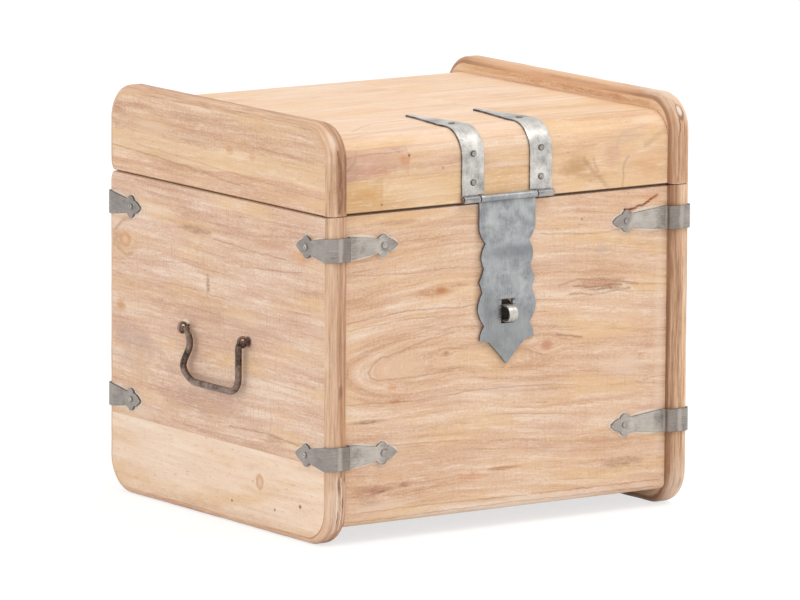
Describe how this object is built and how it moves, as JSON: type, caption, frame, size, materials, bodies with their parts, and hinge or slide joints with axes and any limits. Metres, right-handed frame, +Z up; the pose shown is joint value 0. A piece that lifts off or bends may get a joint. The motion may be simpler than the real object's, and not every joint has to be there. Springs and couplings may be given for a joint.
{
  "type": "wooden storage chest",
  "caption": "Boxy boarded chest with a hinged lid between proud rounded side boards, corner brackets, a scalloped hasp over a staple, and drop bail handles on its sides.",
  "frame": {"origin": "on the floor, under the middle of the whole closed chest with its fittings", "axes": "+Z up, +X to the right along the front as one faces it, +Y to the back; the front with the hasp faces -Y"},
  "size_m": [0.4678, 0.4112, 0.42],
  "materials": {
    "side_wood": "pale sanded solid wood with a thin whitewash, grain along the depth",
    "panel_wood": "pale sanded solid wood with a thin whitewash, grain along the width",
    "sheet_iron": "mottled grey sheet iron, satin, hand cut",
    "rod_iron": "worn dark grey wrought rod",
    "screw_iron": "dull grey slotted round heads"
  },
  "bodies": {
    "base": {"base_side_left": "side_wood", "base_side_right": "side_wood", "base_front_board": "panel_wood", "base_back_board": "panel_wood", "base_floor_board": "panel_wood", "bracket_front_left_upper": "sheet_iron", "bracket_front_left_upper_side_screw": "screw_iron", "bracket_front_left_upper_panel_screw": "screw_iron", "bracket_front_left_lower": "sheet_iron", "bracket_front_left_lower_side_screw": "screw_iron", "bracket_front_left_lower_panel_screw": "screw_iron", "bracket_front_right_upper": "sheet_iron", "bracket_front_right_upper_side_screw": "screw_iron", "bracket_front_right_upper_panel_screw": "screw_iron", "bracket_front_right_lower": "sheet_iron", "bracket_front_right_lower_side_screw": "screw_iron", "bracket_front_right_lower_panel_screw": "screw_iron", "bracket_back_left_upper": "sheet_iron", "bracket_back_left_upper_side_screw": "screw_iron", "bracket_back_left_upper_panel_screw": "screw_iron", "bracket_back_left_lower": "sheet_iron", "bracket_back_left_lower_side_screw": "screw_iron", "bracket_back_left_lower_panel_screw": "screw_iron", "bracket_back_right_upper": "sheet_iron", "bracket_back_right_upper_side_screw": "screw_iron", "bracket_back_right_upper_panel_screw": "screw_iron", "bracket_back_right_lower": "sheet_iron", "bracket_back_right_lower_side_screw": "screw_iron", "bracket_back_right_lower_panel_screw": "screw_iron", "staple": "sheet_iron", "hinge_left_base_leaf": "sheet_iron", "hinge_left_pin": "rod_iron", "eye_left_front": "rod_iron", "eye_left_back": "rod_iron", "hinge_right_base_leaf": "sheet_iron", "hinge_right_pin": "rod_iron", "eye_right_front": "rod_iron", "eye_right_back": "rod_iron"},
    "lid": {"lid_side_left": "side_wood", "lid_side_right": "side_wood", "lid_front_board": "panel_wood", "lid_back_board": "panel_wood", "lid_top_board": "panel_wood", "strap_left": "sheet_iron", "strap_left_screw_1": "screw_iron", "strap_left_screw_2": "screw_iron", "strap_left_screw_3": "screw_iron", "hinge_left_lid_leaf": "sheet_iron", "strap_right": "sheet_iron", "strap_right_screw_1": "screw_iron", "strap_right_screw_2": "screw_iron", "strap_right_screw_3": "screw_iron", "hinge_right_lid_leaf": "sheet_iron", "hasp_pin": "rod_iron"},
    "hasp": {"hasp_plate": "sheet_iron"},
    "handle_left": {"bail_left": "rod_iron"},
    "handle_right": {"bail_right": "rod_iron"}
  },
  "joints": [
    {"name": "lid_hinge", "type": "hinge", "parent": "base", "child": "lid", "pos_m": [0, 0.1999, 0.33], "axis": [-1, 0, 0], "range_deg": [0, 130]},
    {"name": "hasp_hinge", "type": "hinge", "parent": "lid", "child": "hasp", "pos_m": [-0.0035, -0.1937, 0.3343], "axis": [-1, 0, 0], "range_deg": [0, 175]},
    {"name": "handle_left_swing", "type": "hinge", "parent": "base", "child": "handle_left", "pos_m": [-0.2275, -0.0007, 0.1874], "axis": [0, 1, 0], "range_deg": [0, 170]},
    {"name": "handle_right_swing", "type": "hinge", "parent": "base", "child": "handle_right", "pos_m": [0.2275, -0.0007, 0.1874], "axis": [0, -1, 0], "range_deg": [0, 170]}
  ]
}
